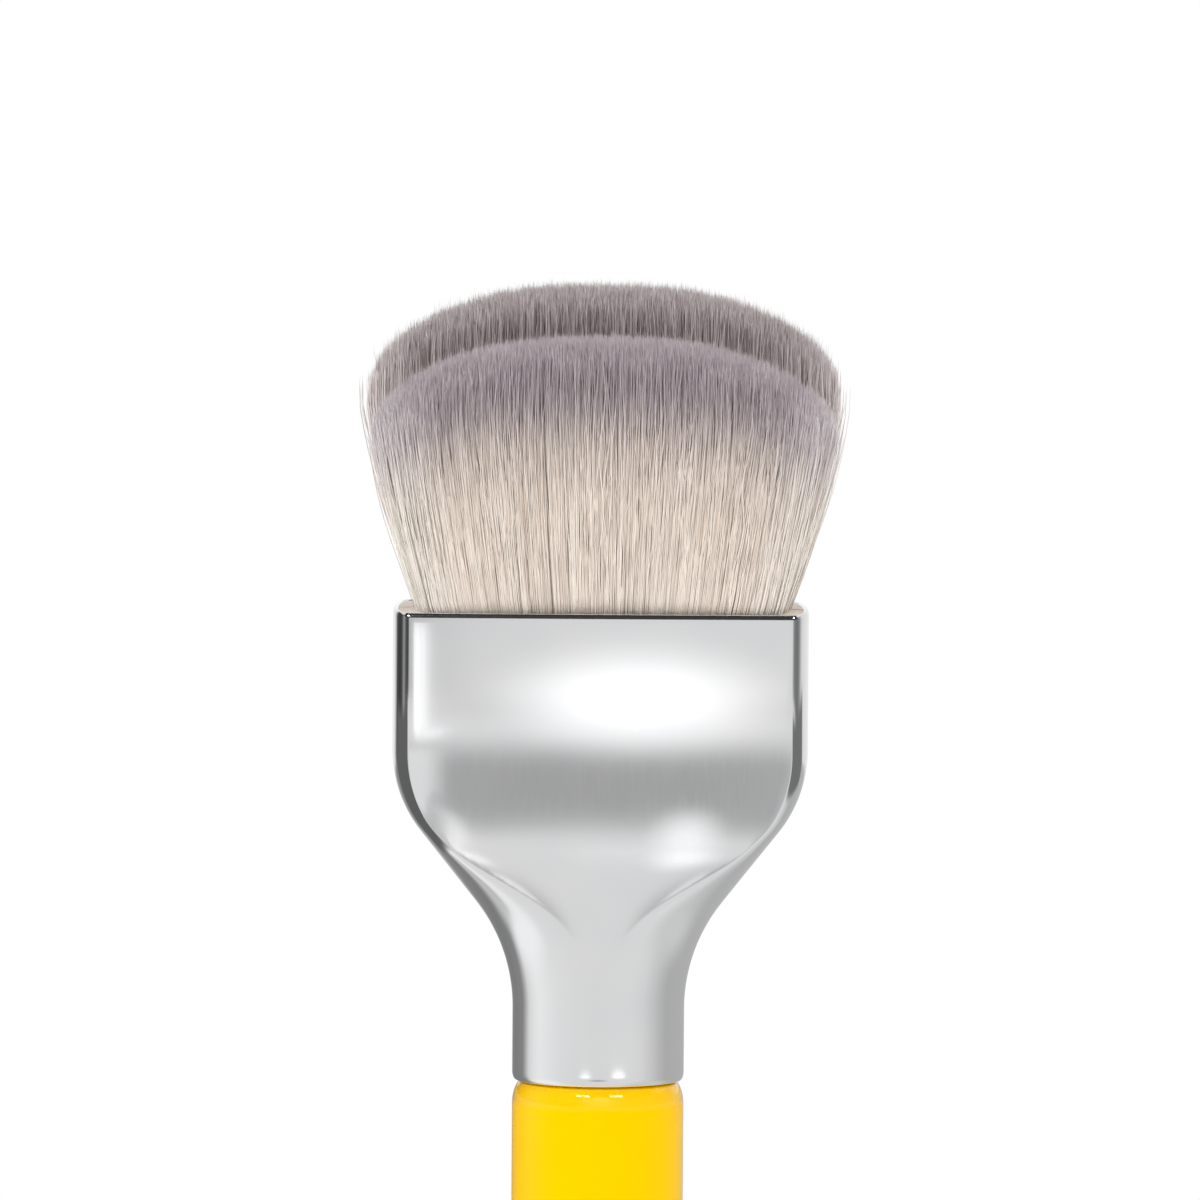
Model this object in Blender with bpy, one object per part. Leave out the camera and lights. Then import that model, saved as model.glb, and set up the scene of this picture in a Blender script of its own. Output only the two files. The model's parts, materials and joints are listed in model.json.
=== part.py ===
# A blending brush: two domed tufts, one behind the other, in one polished ferrule on a
# turned and lacquered wooden handle. The shorter tuft faces -Y, +Z runs up the brush, and
# the origin is the centre of the handle's flat butt. Every length is in metres.

import math

import bmesh
import bpy
from mathutils import Vector

# Clearance between pieces that seat on each other.
FIT_GAP = 0.0003

# Handle: straight under the ferrule, then tapering to a slim end with a small flat.
HANDLE_LENGTH = 0.118
GRIP_LENGTH = 0.030
TAIL_RADIUS = 0.0044
BUTT_FLAT_RADIUS = 0.0025
BUTT_ROUND_HEIGHT = 0.0034
SHOULDER_HEIGHT = 0.0021
TENON_LENGTH = 0.016
TENON_CHAMFER = 0.0007
HANDLE_SIDES = 40
TAPER_STEPS = 10
ROUND_STEPS = 4

# Ferrule: a round neck that flares into a flat box with a wide open mouth.
WALL = 0.0005
NECK_RADIUS = 0.00725
NECK_HEIGHT = 0.0061
NECK_ARC_RADIUS = 0.0145
SHOULDER_ARC_RADIUS = 0.011
FLARE_DEGREES = 38.0
BOX_WIDTH = 0.03506
BOX_DEPTH = 0.0164
BOX_HEIGHT = 0.01195
FACE_CROWN = 0.00035
SIDE_REACH = 0.00125
SIDE_POWER = 2.6
SQUARING_START = 0.0083
SQUARING_END = 0.0228
FLATTENING_START = 0.009
FLATTENING_END = 0.02
FACE_SWELL_BELOW = 0.0081
FACE_SWELL_ABOVE = 0.0109
MOUTH_LIP_HEIGHT = 0.0005
MOUTH_LIP_TURN = 0.00005
NECK_LIP_HEIGHT = 0.0007
NECK_LIP_TURN = 0.00004

# Points round a quarter of each ferrule section, and how long its rounded side is for its reach.
SECTION_STEPS = 18
SIDE_LENGTH_SHARE = 0.8

# Tufts: heights are above the ferrule's mouth.
FRONT_TUFT_HEIGHT = 0.02315
REAR_TUFT_HEIGHT = 0.027
SIDE_GAP = 0.00065
SPREAD_WIDTH = 0.0408
SPREAD_HEIGHT = 0.017
SPREAD_POWER = 1.3
FACE_BELLY = 0.0022
GROOVE_OPENING = 0.0005
DOME_FALL = 0.0081
DOME_WIDTH_POWER = 2.5
DOME_END_POWER = 1.45
FACE_FALL = 0.0016
GROOVE_FALL = 0.0014
FALL_POWER = 2.6
CORNER_EASE_SHARE = 0.35
ROW_SHIFT_SHARE = 0.12
CROWN_SIDE_REACH = 0.0032
MOUTH_GROOVE_RADIUS = 0.0003
CROWN_GROOVE_RADIUS = 0.002
TIP_SCATTER = 0.0005
STRAND_COLUMNS = 26
STRAND_ROWS = 7
STRAND_FILL_SHARE = 0.84
STRAND_TAPER_SHARE = 0.70
STRAND_LEVEL_SHARES = (0.5, 0.9)

# Root block of each tuft, glued solid, and the thread wound round it.
ROOT_TOP_DROP = 0.0006
ROOT_PINCH_DROP = 0.0046
ROOT_HEIGHT = 0.0092
ROOT_CORNER_RADIUS = 0.0009
THREAD_DIAMETER = 0.0005
THREAD_PITCH = 0.00105
THREAD_TURNS = 3
THREAD_TURN_POINTS = 24
THREAD_START_SHARE = 7 / 16

# Resin between the tufts' roots and the tenon.
PLUG_STEPS = 6

# Colour, roughness and metallic value of each material.
FINISHES = {
    "yellow_lacquered_wood": ((0.98, 0.66, 0.0, 1.0), 0.12, 0.0),
    "polished_metal": ((0.80, 0.80, 0.81, 1.0), 0.12, 1.0),
    "dyed_filament": ((0.52, 0.45, 0.41, 1.0), 0.6, 0.0),
    "binding_thread": ((0.75, 0.72, 0.65, 1.0), 0.8, 0.0),
    "clear_resin": ((0.62, 0.50, 0.30, 1.0), 0.35, 0.0),
}


def clear_scene():
    for item in list(bpy.data.objects):
        bpy.data.objects.remove(item, do_unlink=True)


def finish_named(name):
    colour, roughness, metallic = FINISHES[name]
    material = bpy.data.materials.new(name)
    material.use_nodes = True
    shader = material.node_tree.nodes["Principled BSDF"]
    shader.inputs["Base Color"].default_value = colour
    shader.inputs["Roughness"].default_value = roughness
    shader.inputs["Metallic"].default_value = metallic
    material.diffuse_color = colour
    return material


def place(item, material, parent):
    item.data.materials.append(material)
    bpy.context.scene.collection.objects.link(item)
    item.parent = parent


def mesh_object(bm, name, material, parent, location=(0, 0, 0), sharp_degrees=50.0):
    bmesh.ops.recalc_face_normals(bm, faces=bm.faces)
    mesh = bpy.data.meshes.new(name)
    bm.to_mesh(mesh)
    bm.free()
    mesh.shade_smooth()
    mesh.set_sharp_from_angle(angle=math.radians(sharp_degrees))
    item = bpy.data.objects.new(name, mesh)
    item.location = location
    place(item, material, parent)
    return item


def ease(share):
    share = min(1.0, max(0.0, share))
    return share * share * (3 - 2 * share)


# Ferrule outline. Heights z are above the ferrule's lower edge.

def flare_turn():
    # The flank's slope from upright; steep arcs on a small rise meet before they reach it.
    rise = BOX_WIDTH / 2 - NECK_RADIUS
    meeting = math.acos(max(-1.0, 1 - rise / (NECK_ARC_RADIUS + SHOULDER_ARC_RADIUS)))
    return min(math.radians(FLARE_DEGREES), meeting)


def shoulder_height():
    turn = flare_turn()
    arcs = NECK_ARC_RADIUS + SHOULDER_ARC_RADIUS
    flank_rise = BOX_WIDTH / 2 - NECK_RADIUS - arcs * (1 - math.cos(turn))
    return NECK_HEIGHT + arcs * math.sin(turn) + flank_rise / math.tan(turn)


def ferrule_height():
    return shoulder_height() + BOX_HEIGHT


def half_width(z):
    turn = flare_turn()
    arc_top = NECK_HEIGHT + NECK_ARC_RADIUS * math.sin(turn)
    arc_start = shoulder_height() - SHOULDER_ARC_RADIUS * math.sin(turn)
    if z <= NECK_HEIGHT:
        return NECK_RADIUS
    if z < arc_top:
        return NECK_RADIUS + NECK_ARC_RADIUS - math.sqrt(NECK_ARC_RADIUS ** 2 - (z - NECK_HEIGHT) ** 2)
    if z < arc_start:
        return NECK_RADIUS + NECK_ARC_RADIUS * (1 - math.cos(turn)) + (z - arc_top) * math.tan(turn)
    below = max(0.0, shoulder_height() - z)
    return BOX_WIDTH / 2 - SHOULDER_ARC_RADIUS + math.sqrt(SHOULDER_ARC_RADIUS ** 2 - below ** 2)


def half_depth(z):
    # The face swells quickly under the shoulder, then ever more slowly up to the mouth.
    low = shoulder_height() - FACE_SWELL_BELOW
    share = min(1.0, max(0.0, (z - low) / (FACE_SWELL_BELOW + FACE_SWELL_ABOVE)))
    rounded = 1 - (1 - share) ** 3 * (1 + 3 * share)
    return NECK_RADIUS + (BOX_DEPTH / 2 - NECK_RADIUS) * rounded


def squareness(z):
    # 0 where the side takes the neck's whole radius, 1 where it is as narrow as the box's.
    return ease((z - SQUARING_START) / (SQUARING_END - SQUARING_START))


def flatness(z):
    # 0 where the section is the neck's ellipse, 1 where its face is flat between its sides.
    return ease((z - FLATTENING_START) / (FLATTENING_END - FLATTENING_START))


def lip_turn(z):
    # How far the wall leans in as it nears either open end.
    mouth = ease((z - ferrule_height()) / MOUTH_LIP_HEIGHT + 1)
    neck = ease(1 - z / NECK_LIP_HEIGHT)
    return MOUTH_LIP_TURN * mouth + NECK_LIP_TURN * neck


def section_sizes(z, inset):
    # Half width, half depth, the rounded side's reach, and the face's crown.
    square = squareness(z)
    a = half_width(z) - lip_turn(z) - inset
    b = half_depth(z) - lip_turn(z) - inset
    reach = NECK_RADIUS + (SIDE_REACH - NECK_RADIUS) * square - inset
    return a, b, min(a, max(WALL / 4, reach)), FACE_CROWN * square


def quarter_section(a, b, reach, crown, flat_face):
    # From the middle of the face to just before the middle of the side, with the points
    # spread over the length and the turn together. flat_face is 1 for the box, 0 for an ellipse.
    flat = a - reach
    length = flat + SIDE_LENGTH_SHARE * (reach + b)
    flat_share = flat / (2 * length)
    points = []
    for step in range(SECTION_STEPS):
        share = step / SECTION_STEPS
        even = math.pi / 2 * max(0.0, share - flat_share) / (1 - flat_share)
        tight = math.atan2(math.sin(even) * reach, math.cos(even) * b)
        turn = (even + tight) / 2
        x = min(flat, 2 * length * share) + reach * math.sin(turn) ** (2 / SIDE_POWER)
        y = (b - crown * (x / a) ** 2) * math.cos(turn)
        angle = math.pi / 2 * share
        points.append((flat_face * x + (1 - flat_face) * a * math.sin(angle),
                       flat_face * y + (1 - flat_face) * b * math.cos(angle)))
    return points


def section(z, inset):
    # The ferrule's closed outline at height z, drawn in by inset.
    sizes = section_sizes(z, inset)
    points = quarter_section(*sizes, flatness(z))
    side_middle = sizes[0]
    front_right = [(x, -y) for x, y in points]
    back_right = [(side_middle, 0.0)] + [(x, y) for x, y in reversed(points[1:])]
    back_left = [(-x, y) for x, y in points]
    front_left = [(-side_middle, 0.0)] + [(-x, -y) for x, y in reversed(points[1:])]
    return [Vector((x, y, z)) for x, y in front_right + back_right + back_left + front_left]


def wall_at(z, y, inset):
    # Half of the box's width at height z, at a distance y from the middle plane.
    a, b, reach, crown = section_sizes(z, inset)
    share = min(1.0, y / (b - crown))
    return a - reach + reach * (1 - share * share) ** (1 / SIDE_POWER)


def skin(bm, rings, closed):
    # Quads between neighbouring rings; the ends are joined to each other or capped.
    loops = [[bm.verts.new(point) for point in ring] for ring in rings]
    pairs = list(zip(loops, loops[1:]))
    if closed:
        pairs.append((loops[-1], loops[0]))
    for low, high in pairs:
        for index in range(len(low)):
            after = (index + 1) % len(low)
            bm.faces.new((low[index], low[after], high[after], high[index]))
    if not closed:
        bm.faces.new(list(reversed(loops[0])))
        bm.faces.new(loops[-1])


def spaced(start, end, steps):
    return [start + (end - start) * step / steps for step in range(steps + 1)]


def ferrule_heights(neck_steps, flank_steps, shoulder_steps, box_steps):
    turn = flare_turn()
    arc_top = NECK_HEIGHT + NECK_ARC_RADIUS * math.sin(turn)
    arc_start = shoulder_height() - SHOULDER_ARC_RADIUS * math.sin(turn)
    heights = [NECK_LIP_HEIGHT]
    heights += spaced(NECK_HEIGHT, arc_top, neck_steps)
    heights += spaced(arc_top, arc_start, flank_steps)[1:]
    heights += spaced(arc_start, shoulder_height(), shoulder_steps)[1:]
    heights += spaced(shoulder_height(), ferrule_height() - MOUTH_LIP_HEIGHT, box_steps)[1:]
    return heights


def make_ferrule(parent):
    # The outer wall going up, the round mouth edge, the inner wall going down, the neck edge.
    edge = WALL / 2
    top = ferrule_height()
    rings = [section(z, 0.0) for z in ferrule_heights(7, 3, 6, 3)]
    for degrees in (0, 45, 90, 135, 180):
        angle = math.radians(degrees)
        rings.append(section(top - edge + edge * math.sin(angle), edge * (1 - math.cos(angle))))
    rings += [section(z, WALL) for z in reversed(ferrule_heights(4, 1, 3, 2))]
    for degrees in (180, 135, 90, 45, 0):
        angle = math.radians(degrees)
        rings.append(section(edge - edge * math.sin(angle), edge * (1 - math.cos(angle))))
    bm = bmesh.new()
    skin(bm, rings, closed=True)
    mesh_object(bm, "ferrule", finish_named("polished_metal"), parent, (0, 0, HANDLE_LENGTH))


def handle_outline():
    tenon_radius = NECK_RADIUS - WALL - NECK_LIP_TURN - FIT_GAP
    points = []
    for step in range(ROUND_STEPS + 1):
        angle = math.pi / 2 * step / ROUND_STEPS
        points.append((BUTT_FLAT_RADIUS + (TAIL_RADIUS - BUTT_FLAT_RADIUS) * math.sin(angle),
                       BUTT_ROUND_HEIGHT * (1 - math.cos(angle))))
    grip_start = HANDLE_LENGTH - SHOULDER_HEIGHT - GRIP_LENGTH
    for step in range(1, TAPER_STEPS + 1):
        share = step / TAPER_STEPS
        points.append((TAIL_RADIUS + (NECK_RADIUS - TAIL_RADIUS) * ease(share),
                       BUTT_ROUND_HEIGHT + (grip_start - BUTT_ROUND_HEIGHT) * share))
    for step in range(ROUND_STEPS + 1):
        angle = math.pi / 2 * step / ROUND_STEPS
        points.append((tenon_radius + (NECK_RADIUS - tenon_radius) * math.cos(angle),
                       HANDLE_LENGTH - SHOULDER_HEIGHT * (1 - math.sin(angle))))
    points.append((tenon_radius, HANDLE_LENGTH + TENON_LENGTH - TENON_CHAMFER))
    points.append((tenon_radius - TENON_CHAMFER, HANDLE_LENGTH + TENON_LENGTH))
    return points


def make_handle(parent):
    bm = bmesh.new()
    verts = [bm.verts.new((radius, 0, z)) for radius, z in handle_outline()]
    edges = [bm.edges.new(pair) for pair in zip(verts, verts[1:])]
    bmesh.ops.spin(bm, geom=verts + edges, cent=(0, 0, 0), axis=(0, 0, 1),
                   angle=math.tau, steps=HANDLE_SIDES, use_merge=True)
    bmesh.ops.holes_fill(bm, edges=[edge for edge in bm.edges if edge.is_boundary])
    mesh_object(bm, "handle", finish_named("yellow_lacquered_wood"), parent)


# Tufts. Heights h are above the ferrule's mouth, side is -1 for the front tuft and 1 for
# the rear one, u runs across the width and v from the groove to the outer face, -1 to 1.

def mouth_half_sizes():
    # The room inside the mouth's lip, less the clearance.
    inset = WALL + MOUTH_LIP_TURN
    return BOX_WIDTH / 2 - inset - SIDE_GAP, BOX_DEPTH / 2 - FACE_CROWN - inset - FIT_GAP


def spread(h):
    return 1 - max(0.0, 1 - h / SPREAD_HEIGHT) ** SPREAD_POWER


def tuft_point(side, u, v, h):
    # The outer side is rounded as the ferrule's is, and the groove's edge has a small radius.
    mouth_x, mouth_y = mouth_half_sizes()
    mouth_reach = SIDE_REACH - WALL - MOUTH_LIP_TURN - FIT_GAP
    share = spread(h)
    opened = max(0.0, share)
    half_x = mouth_x + (SPREAD_WIDTH / 2 - mouth_x) * share
    near_y = FIT_GAP / 2 + GROOVE_OPENING * opened
    far_y = mouth_y + FACE_BELLY * share
    reach = mouth_reach + (CROWN_SIDE_REACH - mouth_reach) * opened
    corner = MOUTH_GROOVE_RADIUS + (CROWN_GROOVE_RADIUS - MOUTH_GROOVE_RADIUS) * opened
    y = near_y + (far_y - near_y) * (v + 1) / 2
    past = max(0.0, corner + near_y - y)
    half_x -= reach * (1 - math.sqrt(max(0.0, 1 - (y / far_y) ** 2)))
    half_x -= corner - math.sqrt(max(0.0, corner ** 2 - past ** 2))
    shifted = u + ROW_SHIFT_SHARE * v * (1 - u * u)
    return Vector((shifted * half_x, side * y, h))


def tip_height(tuft_height, u, v):
    ends = 1 - (1 - abs(u) ** DOME_WIDTH_POWER) ** (1 / DOME_END_POWER)
    fall = FACE_FALL if v > 0 else GROOVE_FALL
    across = fall * abs(v) ** FALL_POWER * (1 - CORNER_EASE_SHARE * u * u)
    return tuft_height - DOME_FALL * ends - across


def strand_corners(u, v, flipped, share):
    # A triangle that fills its share of the strand's cell; neighbours stand opposite ways.
    half_u = share / STRAND_COLUMNS
    half_v = share / STRAND_ROWS
    turn = -1 if flipped else 1
    return [(u - half_u, v - turn * half_v), (u + half_u, v - turn * half_v), (u, v + turn * half_v)]


def add_strand(bm, side, tuft_height, column, row, cell):
    u = (2 * column + 1) / STRAND_COLUMNS - 1
    v = (2 * row + 1) / STRAND_ROWS - 1
    flipped = (column + row) % 2 == 1
    golden = (math.sqrt(5) - 1) / 2
    scatter = ((column * STRAND_ROWS + row + 1) * golden) % 1 - 0.5
    top = tip_height(tuft_height, u, v) + TIP_SCATTER * scatter
    levels = [(-ROOT_TOP_DROP, STRAND_FILL_SHARE)]
    for share, fill in zip(STRAND_LEVEL_SHARES, (STRAND_FILL_SHARE, STRAND_TAPER_SHARE)):
        levels.append((top * share, fill))
    rings = []
    for h, fill in levels:
        corners = strand_corners(u, v, flipped, fill)
        rings.append([bm.verts.new(tuft_point(side, cu, cv, h)) for cu, cv in corners])
    for low, high in zip(rings, rings[1:]):
        for index in range(3):
            after = (index + 1) % 3
            bm.faces.new((low[index], low[after], high[after], high[index]))
    tip = bm.verts.new(tuft_point(side, u, v, top))
    for index in range(3):
        bm.faces.new((rings[-1][index], rings[-1][(index + 1) % 3], tip))
    seat_strand(bm, cell, rings[0], flipped)


def seat_strand(bm, cell, foot, flipped):
    # The root block's top round the strand's foot: the cell's four edges meet its three.
    a, b, c, d = cell
    p, q, r = foot
    if flipped:
        bm.faces.new((d, c, q, p))
        bm.faces.new((a, r, b))
        bm.faces.new((a, d, p, r))
        bm.faces.new((b, r, q, c))
    else:
        bm.faces.new((a, b, q, p))
        bm.faces.new((d, r, c))
        bm.faces.new((a, p, r, d))
        bm.faces.new((b, c, r, q))


def root_half_sizes():
    # The room in the ferrule at the root's lower end, once the thread lies round the root.
    low = ferrule_height() - ROOT_HEIGHT
    off = FIT_GAP + THREAD_DIAMETER
    near_y = FIT_GAP / 2 + off
    far_y = half_depth(low) - FACE_CROWN - WALL - FIT_GAP - off
    corner = ROOT_CORNER_RADIUS + off
    bend = corner * (1 - math.cos(math.pi / 4))
    at_bend = wall_at(low, far_y + off - bend, WALL + FIT_GAP) - off + bend
    at_side = wall_at(low, far_y + off - corner, WALL + FIT_GAP) - off
    return min(at_bend, at_side), near_y, far_y


def root_point(side, u, v, h):
    # A rounded rectangle swept by u and v, whose corners are drawn in along u.
    half_x, near_y, far_y = root_half_sizes()
    half_y = (far_y - near_y) / 2
    past = max(0.0, abs(v) * half_y - (half_y - ROOT_CORNER_RADIUS))
    drawn_in = ROOT_CORNER_RADIUS - math.sqrt(max(0.0, ROOT_CORNER_RADIUS ** 2 - past ** 2))
    return Vector((u * (half_x - drawn_in), side * ((near_y + far_y) / 2 + v * half_y), h))


def make_tuft(side, tuft_height, name, material, parent):
    bm = bmesh.new()
    grid = []
    for row in range(STRAND_ROWS + 1):
        v = 2 * row / STRAND_ROWS - 1
        us = [2 * column / STRAND_COLUMNS - 1 for column in range(STRAND_COLUMNS + 1)]
        grid.append([bm.verts.new(tuft_point(side, u, v, -ROOT_TOP_DROP)) for u in us])
    for row in range(STRAND_ROWS):
        for column in range(STRAND_COLUMNS):
            cell = (grid[row][column], grid[row][column + 1],
                    grid[row + 1][column + 1], grid[row + 1][column])
            add_strand(bm, side, tuft_height, column, row, cell)
    border = grid[0] + [line[-1] for line in grid[1:]]
    border += list(reversed(grid[-1][:-1])) + [line[0] for line in reversed(grid[1:-1])]
    columns = [2 * column / STRAND_COLUMNS - 1 for column in range(STRAND_COLUMNS + 1)]
    rows = [2 * row / STRAND_ROWS - 1 for row in range(STRAND_ROWS + 1)]
    places = [(u, -1) for u in columns] + [(1, v) for v in rows[1:]]
    places += [(u, 1) for u in reversed(columns[:-1])] + [(-1, v) for v in reversed(rows[1:-1])]
    above = border
    for h in (-ROOT_PINCH_DROP, -ROOT_HEIGHT):
        below = [bm.verts.new(root_point(side, u, v, h)) for u, v in places]
        for index in range(len(above)):
            after = (index + 1) % len(above)
            bm.faces.new((above[index], above[after], below[after], below[index]))
        above = below
    bm.faces.new(above)
    mouth = HANDLE_LENGTH + ferrule_height()
    mesh_object(bm, name, material, parent, (0, 0, mouth), sharp_degrees=70.0)


# Bindings: thread wound round each root block in one unbroken run. Each quarter turn has
# the signs of its corner's place and the way its straight run goes.
QUARTERS = (((1, -1), (0, 1)), ((1, 1), (-1, 0)), ((-1, 1), (0, -1)), ((-1, -1), (1, 0)))


def thread_place(side, turn):
    # A rounded rectangle: each quarter turn bends round a corner, then runs along a side.
    half_x, near_y, far_y = root_half_sizes()
    off = FIT_GAP + THREAD_DIAMETER / 2
    corner = ROOT_CORNER_RADIUS + off
    flat_x = half_x + off - corner
    flat_y = (far_y - near_y) / 2 + off - corner
    quarter = math.floor(turn * 4)
    share = turn * 4 - quarter
    heading = math.pi / 2 * (quarter + min(1.0, 2 * share))
    run = 2 * max(0.0, 2 * share - 1)
    (sign_x, sign_y), (run_x, run_y) = QUARTERS[quarter % 4]
    x = sign_x * flat_x + corner * math.sin(heading) + run * run_x * flat_x
    y = sign_y * flat_y - corner * math.cos(heading) + run * run_y * flat_y
    return x, side * (near_y + far_y) / 2 + y


def thread_route(side):
    middle = -(ROOT_PINCH_DROP + ROOT_HEIGHT) / 2
    points = []
    for step in range(THREAD_TURNS * THREAD_TURN_POINTS + 1):
        turn = step / THREAD_TURN_POINTS
        x, y = thread_place(side, turn + THREAD_START_SHARE)
        points.append(Vector((x, y, middle + THREAD_PITCH * (turn - THREAD_TURNS / 2))))
    return points


def least_self_gap(points):
    gaps = [math.inf]
    for index, point in enumerate(points):
        for other in points[index + THREAD_TURN_POINTS // 2:]:
            gaps.append((point - other).length - THREAD_DIAMETER)
    return min(gaps)


def make_binding(side, name, material, parent):
    route = thread_route(side)
    curve = bpy.data.curves.new(name, "CURVE")
    curve.dimensions = "3D"
    curve.bevel_depth = THREAD_DIAMETER / 2
    curve.bevel_resolution = 1
    curve.use_fill_caps = True
    spline = curve.splines.new("POLY")
    spline.points.add(len(route) - 1)
    for spot, point in zip(spline.points, route):
        spot.co = (*point, 1.0)
    item = bpy.data.objects.new(name, curve)
    item.location = (0, 0, HANDLE_LENGTH + ferrule_height())
    place(item, material, parent)
    print(name, "least gap of the thread to itself:", round(least_self_gap(route), 6))


def make_plug(parent):
    # It follows the ferrule's inside, clear of the tenon below and the tufts' roots above.
    low = TENON_LENGTH + FIT_GAP
    high = ferrule_height() - ROOT_HEIGHT - FIT_GAP
    rings = [section(z, WALL + FIT_GAP) for z in spaced(low, high, PLUG_STEPS)]
    bm = bmesh.new()
    skin(bm, rings, closed=False)
    mesh_object(bm, "resin_plug", finish_named("clear_resin"), parent, (0, 0, HANDLE_LENGTH))


def build():
    clear_scene()
    brush = bpy.data.objects.new("brush_frame", None)
    bpy.context.scene.collection.objects.link(brush)
    make_handle(brush)
    make_ferrule(brush)
    make_plug(brush)
    filament = finish_named("dyed_filament")
    make_tuft(-1, FRONT_TUFT_HEIGHT, "front_tuft", filament, brush)
    make_tuft(1, REAR_TUFT_HEIGHT, "rear_tuft", filament, brush)
    thread = finish_named("binding_thread")
    make_binding(-1, "front_binding", thread, brush)
    make_binding(1, "rear_binding", thread, brush)


build()
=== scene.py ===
import json
import math

import bpy
import numpy as np
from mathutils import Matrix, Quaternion, Vector

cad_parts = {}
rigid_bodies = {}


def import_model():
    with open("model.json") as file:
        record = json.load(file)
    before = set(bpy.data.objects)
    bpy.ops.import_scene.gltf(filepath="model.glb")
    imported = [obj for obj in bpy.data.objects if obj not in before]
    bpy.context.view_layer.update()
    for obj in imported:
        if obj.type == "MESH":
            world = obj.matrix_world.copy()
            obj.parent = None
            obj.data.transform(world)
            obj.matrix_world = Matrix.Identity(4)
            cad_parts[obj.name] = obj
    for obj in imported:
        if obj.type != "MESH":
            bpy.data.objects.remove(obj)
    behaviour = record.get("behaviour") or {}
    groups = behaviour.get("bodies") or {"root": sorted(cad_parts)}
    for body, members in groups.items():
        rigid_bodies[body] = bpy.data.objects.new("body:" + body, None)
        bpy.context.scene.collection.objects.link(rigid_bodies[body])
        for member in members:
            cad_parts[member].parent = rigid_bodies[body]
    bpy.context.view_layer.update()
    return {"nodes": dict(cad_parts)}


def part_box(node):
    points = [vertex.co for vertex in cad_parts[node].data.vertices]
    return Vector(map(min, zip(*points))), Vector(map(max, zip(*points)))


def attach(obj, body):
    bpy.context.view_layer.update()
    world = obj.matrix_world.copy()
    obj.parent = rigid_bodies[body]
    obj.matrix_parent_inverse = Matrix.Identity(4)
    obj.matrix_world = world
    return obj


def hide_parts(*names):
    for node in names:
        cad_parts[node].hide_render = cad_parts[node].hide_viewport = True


for item in list(bpy.data.objects):
    bpy.data.objects.remove(item, do_unlink=True)

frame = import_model()
mm = 0.001
print("frame loaded:", ", ".join(sorted(frame["nodes"])))

# The brush stands on its butt with +Z up, and the shorter tuft faces the camera at -Y.
ferruleLow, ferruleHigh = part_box("ferrule")
handleLow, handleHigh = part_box("handle")
neckEnd = ferruleLow.z
mouthHeight = ferruleHigh.z
neckRadius = handleHigh.x


def linearColour(code):  # "#RRGGBB" as the linear colour that shaders take
    parts = [int(code[place:place + 2], 16) / 255 for place in (1, 3, 5)]
    linear = [part / 12.92 if part <= 0.04045 else ((part + 0.055) / 1.055) ** 2.4 for part in parts]
    return (*linear, 1.0)


def grey(brightness):
    return (brightness, brightness, brightness, 1.0)


def addNode(tree, kind, inputs=None, stops=None, **settings):
    # A node with its settings, a value or a link on each input named, and a ramp's stops, whose
    # tones are hex codes or brightnesses.
    node = tree.nodes.new("ShaderNode" + kind)
    for key, value in settings.items():
        setattr(node, key, value)
    for place, (position, tone) in enumerate(stops or []):
        points = node.color_ramp.elements
        point = points[place] if place < 2 else points.new(position)
        point.position = position
        point.color = linearColour(tone) if isinstance(tone, str) else grey(tone)
    for key, value in (inputs or {}).items():
        if isinstance(value, bpy.types.Node):
            value = value.outputs[0]
        if isinstance(value, bpy.types.NodeSocket):
            tree.links.new(value, node.inputs[key])
        else:
            node.inputs[key].default_value = value
    return node


def startMaterial(name):
    material = bpy.data.materials.new(name)
    material.use_nodes = True
    material.node_tree.nodes.clear()
    return material, material.node_tree


def ease(share):
    share = np.clip(share, 0, 1)
    return share * share * (3 - 2 * share)


def newMesh(name, points, faceGroups, material, sharpDegrees=None):
    # Each face group is an array with one row of corner numbers for each face.
    mesh = bpy.data.meshes.new(name)
    corners = np.concatenate([group.ravel() for group in faceGroups])
    sizes = np.concatenate([np.full(len(group), group.shape[1]) for group in faceGroups])
    mesh.vertices.add(len(points))
    mesh.vertices.foreach_set("co", np.asarray(points, float).ravel())
    mesh.loops.add(len(corners))
    mesh.loops.foreach_set("vertex_index", corners)
    mesh.polygons.add(len(sizes))
    mesh.polygons.foreach_set("loop_start", np.concatenate(([0], np.cumsum(sizes)[:-1])))
    mesh.update(calc_edges=True)
    mesh.shade_smooth()
    if sharpDegrees:
        mesh.set_sharp_from_angle(angle=math.radians(sharpDegrees))
    mesh.materials.append(material)
    return mesh


def addObject(name, data):
    item = bpy.data.objects.new(name, data)
    bpy.context.scene.collection.objects.link(item)
    return item


def addPiece(name, mesh, replaced):
    piece = addObject(name, mesh)
    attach(piece, "root")
    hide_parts(replaced)


def loftFaces(rings, around, closed):
    # Quads between neighbouring rings of points that run anticlockwise seen from above.
    low = np.arange(rings if closed else rings - 1)[:, None]
    high = (low + 1) % rings
    here = np.arange(around)[None, :]
    after = (here + 1) % around
    corners = (low * around + here, low * around + after, high * around + after, high * around + here)
    return np.stack(corners, axis=-1).reshape(-1, 4)


def turnedPoints(radii, heights, sides):
    # Rings of points about the Z axis, one ring for each radius and height.
    turns = np.linspace(0, math.tau, sides, endpoint=False)
    points = np.zeros((len(radii), sides, 3))
    points[..., 0] = np.outer(radii, np.cos(turns))
    points[..., 1] = np.outer(radii, np.sin(turns))
    points[..., 2] = np.reshape(heights, (-1, 1))
    return points.reshape(-1, 3)


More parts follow.
